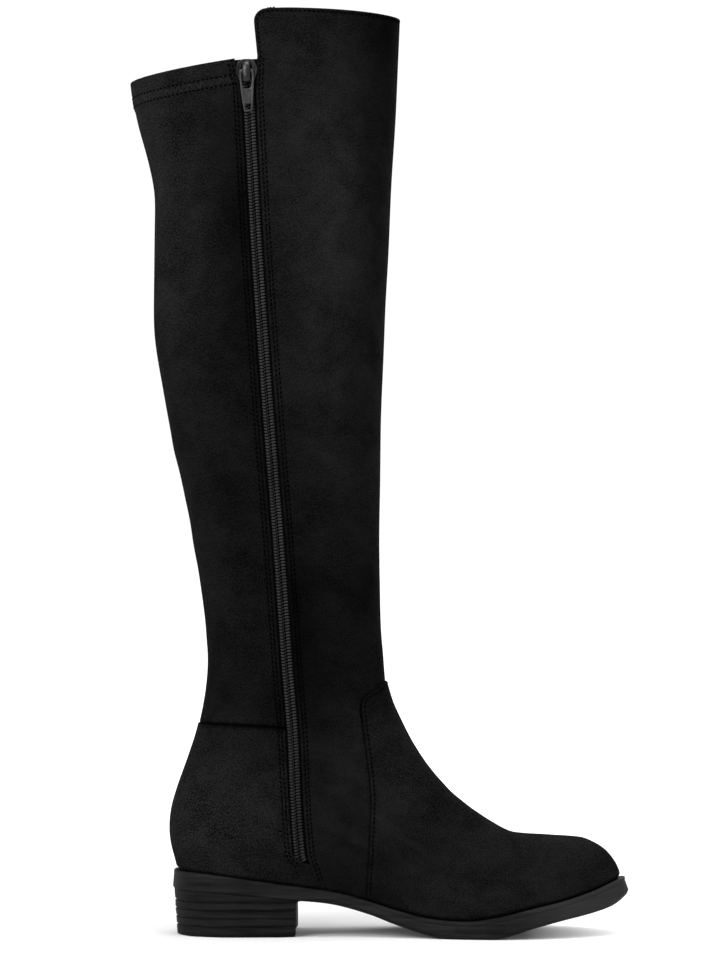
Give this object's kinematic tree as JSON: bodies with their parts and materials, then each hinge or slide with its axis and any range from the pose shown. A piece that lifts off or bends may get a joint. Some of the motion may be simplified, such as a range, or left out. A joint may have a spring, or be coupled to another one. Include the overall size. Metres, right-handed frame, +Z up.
{
  "type": "over-the-knee boot",
  "caption": "Tall over-the-knee boot in black brushed cloth with a side zip, a stretch back panel and a low stacked heel, for the left foot.",
  "frame": {"origin": "bottom centre of the bounding box, on the floor", "axes": "+X towards the toe, +Y towards the outer side, +Z up; the zip is on the inner side at -Y"},
  "size_m": [0.2912, 0.1008, 0.5368],
  "materials": {
    "outsole_rubber": "satin black moulded rubber with fine brushed lines along its side",
    "heel_stack": "satin black stacked layers with grooves between them",
    "insole_sock": "matt black cloth sock",
    "black_suede": "brushed black cloth with a short nap, like suede",
    "zip_tape": "woven black tape",
    "zip_coil": "black moulded coil with small highlights",
    "slider_metal": "dark grey metal",
    "pull_metal": "dark grey metal with worn highlights"
  },
  "bodies": {
    "boot": {"outsole": "outsole_rubber", "heel": "heel_stack", "insole": "insole_sock", "upper": "black_suede", "zip_tape_rear": "zip_tape", "zip_tape_front": "zip_tape", "zip_coil_rear": "zip_coil", "zip_coil_front": "zip_coil", "zip_slider": "slider_metal"},
    "pull": {"zip_pull": "pull_metal"}
  },
  "joints": [
    {"name": "pull_swing", "type": "hinge", "parent": "boot", "child": "pull", "pos_m": [-0.07445, -0.04787, 0.50043], "axis": [-0.9986, 0.0341, -0.0402], "range_deg": [0, 170]}
  ]
}
